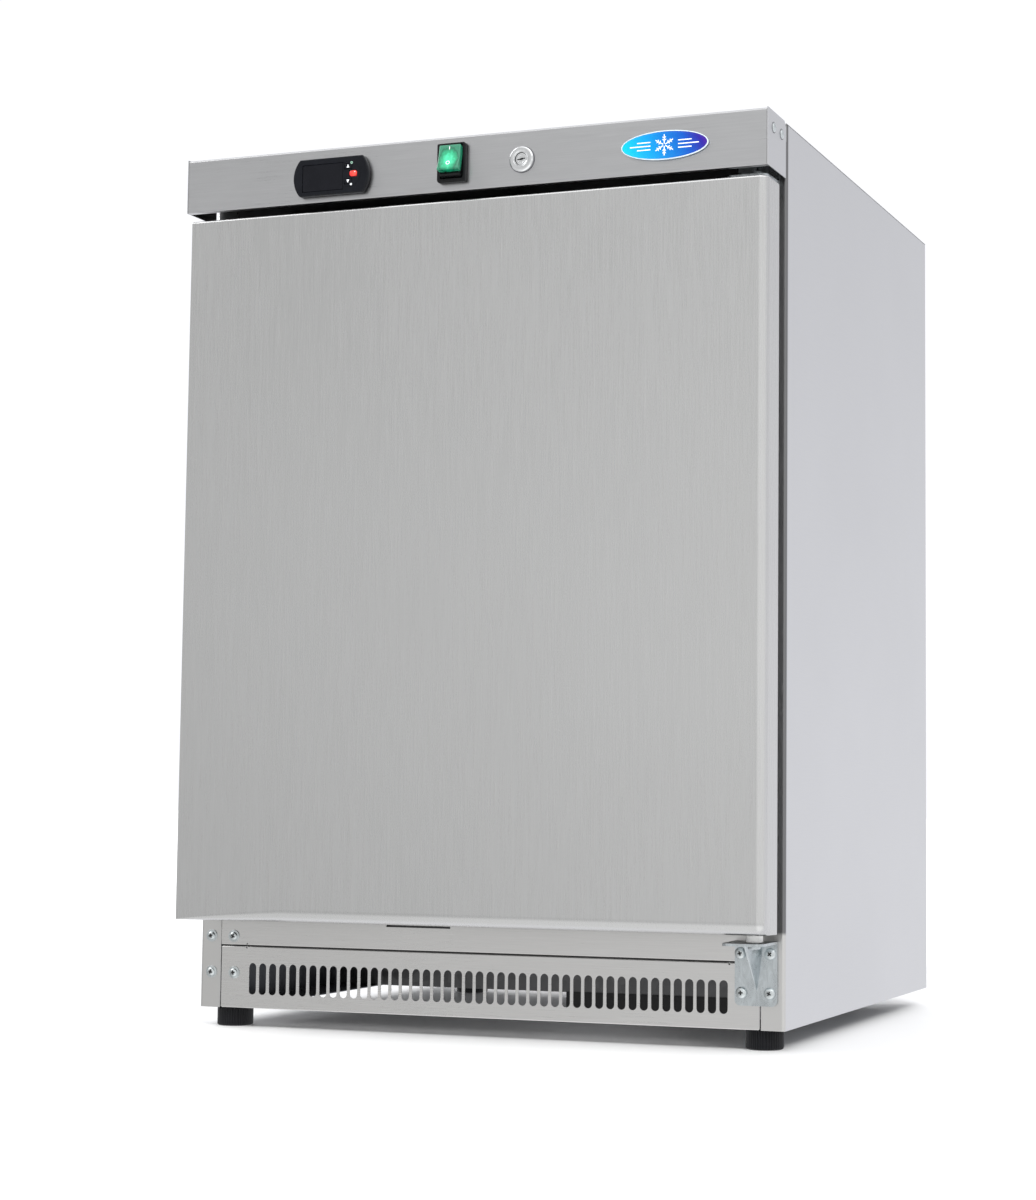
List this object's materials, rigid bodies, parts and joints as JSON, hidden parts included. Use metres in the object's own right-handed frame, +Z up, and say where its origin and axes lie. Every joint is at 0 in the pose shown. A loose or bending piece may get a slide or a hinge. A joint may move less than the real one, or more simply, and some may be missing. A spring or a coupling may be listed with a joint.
{
  "type": "under counter fridge",
  "caption": "Upright box refrigerator with one solid hinged door, a control fascia on top, a slotted vent grille and levelling feet below, and wire shelves inside.",
  "frame": {"origin": "on the floor, in the middle of the footprint of the whole box, under the centre of the cabinet", "axes": "+Z up, -Y to the front where the door is, +X to the right of someone facing the door (the hinge side)"},
  "size_m": [0.6, 0.5978, 0.8487],
  "materials": {
    "steel": "satin",
    "zinc": "satin",
    "galvanised": "matte",
    "black_plastic": "satin",
    "display_window": "gloss",
    "key": "satin",
    "key_lit": "satin",
    "rocker_green": "gloss",
    "chrome": "polished",
    "badge": "gloss",
    "white_plastic": "satin",
    "foam": "matte",
    "nylon": "satin",
    "gasket": "matte",
    "foot_rubber": "matte",
    "coated_wire": "satin",
    "black_paint": "satin",
    "copper": "satin",
    "aluminium": "satin"
  },
  "bodies": {
    "cabinet": {"back_panel": "galvanised", "badge_plate": "badge", "base_rail_left": "galvanised", "base_rail_right": "galvanised", "cabinet_foam": "foam", "cable_gland": "black_plastic", "compressor": "black_paint", "compressor_base": "galvanised", "compressor_terminal_cover": "black_plastic", "condenser": "aluminium", "condenser_fan_motor": "black_paint", "condenser_shroud": "galvanised", "control_fascia": "steel", "controller_housing": "black_plastic", "controller_window": "display_window", "drain_hose": "nylon", "drip_tray": "black_plastic", "electrical_box": "black_plastic", "evaporator_plate": "aluminium", "filter_drier": "copper", "hinge_screw_1": "zinc", "hinge_screw_2": "zinc", "hinge_screw_3": "zinc", "hinge_screw_4": "zinc", "inner_liner": "white_plastic", "lock_barrel": "chrome", "lower_front_rail": "steel", "lower_hinge_bracket": "zinc", "lower_hinge_pin": "zinc", "side_panel_left": "steel", "side_panel_right": "steel", "suction_pipe": "copper", "switch_housing": "black_plastic", "top_panel": "steel", "underside_panel": "galvanised", "upper_front_rail": "black_paint", "upper_hinge_bracket": "zinc", "upper_hinge_pin": "zinc", "vent_grille": "steel"},
    "door": {"door_outer_skin": "steel", "door_grip": "black_plastic", "door_foam": "foam", "door_inner_panel": "white_plastic", "door_gasket": "gasket", "lower_hinge_bush": "nylon", "upper_hinge_bush": "nylon"},
    "lock": {"lock_plug": "chrome", "lock_cam": "zinc"},
    "rocker": {"switch_rocker": "rocker_green"},
    "key_up": {"key_up": "key"},
    "key_set": {"key_set": "key_lit"},
    "key_down": {"key_down": "key"},
    "foot_front_left": {"foot_front_left": "foot_rubber"},
    "foot_front_right": {"foot_front_right": "foot_rubber"},
    "foot_rear_left": {"foot_rear_left": "foot_rubber"},
    "foot_rear_right": {"foot_rear_right": "foot_rubber"},
    "shelf_bottom": {"shelf_bottom": "coated_wire"},
    "shelf_middle": {"shelf_middle": "coated_wire"},
    "shelf_top": {"shelf_top": "coated_wire"},
    "condenser_fan": {"condenser_fan_blade": "aluminium"}
  },
  "joints": [
    {"name": "door_hinge", "type": "hinge", "parent": "cabinet", "child": "door", "pos_m": [0.281, -0.25815, 0.4], "axis": [0, 0, 1], "range_deg": [0, 120]},
    {"name": "lock_turn", "type": "hinge", "parent": "cabinet", "child": "lock", "pos_m": [0.059, -0.28615, 0.8197], "axis": [0, 1, 0], "range_deg": [0, 90]},
    {"name": "rocker_tilt", "type": "hinge", "parent": "cabinet", "child": "rocker", "pos_m": [-0.01145, -0.28715, 0.8225], "axis": [1, 0, 0], "range_deg": [0, 30]},
    {"name": "key_up_press", "type": "slide", "parent": "cabinet", "child": "key_up", "axis": [0, 1, 0], "range_m": [0, 0.0006], "stiffness_N_per_m": 500},
    {"name": "key_set_press", "type": "slide", "parent": "cabinet", "child": "key_set", "axis": [0, 1, 0], "range_m": [0, 0.0006], "stiffness_N_per_m": 500},
    {"name": "key_down_press", "type": "slide", "parent": "cabinet", "child": "key_down", "axis": [0, 1, 0], "range_m": [0, 0.0006], "stiffness_N_per_m": 500},
    {"name": "foot_front_left_screw", "type": "hinge", "parent": "cabinet", "child": "foot_front_left", "pos_m": [-0.2736, -0.20355, 0], "axis": [0, 0, 1], "range_deg": [-360, 1800]},
    {"name": "foot_front_right_screw", "type": "hinge", "parent": "cabinet", "child": "foot_front_right", "pos_m": [0.2736, -0.20355, 0], "axis": [0, 0, 1], "range_deg": [-360, 1800]},
    {"name": "foot_rear_left_screw", "type": "hinge", "parent": "cabinet", "child": "foot_rear_left", "pos_m": [-0.218, 0.23385, 0], "axis": [0, 0, 1], "range_deg": [-360, 1800]},
    {"name": "foot_rear_right_screw", "type": "hinge", "parent": "cabinet", "child": "foot_rear_right", "pos_m": [0.218, 0.23385, 0], "axis": [0, 0, 1], "range_deg": [-360, 1800]},
    {"name": "shelf_bottom_slide", "type": "slide", "parent": "cabinet", "child": "shelf_bottom", "axis": [0, -1, 0], "range_m": [0, 0.02]},
    {"name": "shelf_middle_slide", "type": "slide", "parent": "cabinet", "child": "shelf_middle", "axis": [0, -1, 0], "range_m": [0, 0.02]},
    {"name": "shelf_top_slide", "type": "slide", "parent": "cabinet", "child": "shelf_top", "axis": [0, -1, 0], "range_m": [0, 0.02]},
    {"name": "condenser_fan_spin", "type": "hinge", "parent": "cabinet", "child": "condenser_fan", "pos_m": [-0.138, 0.16885, 0.115], "axis": [1, 0, 0], "continuous": true}
  ]
}
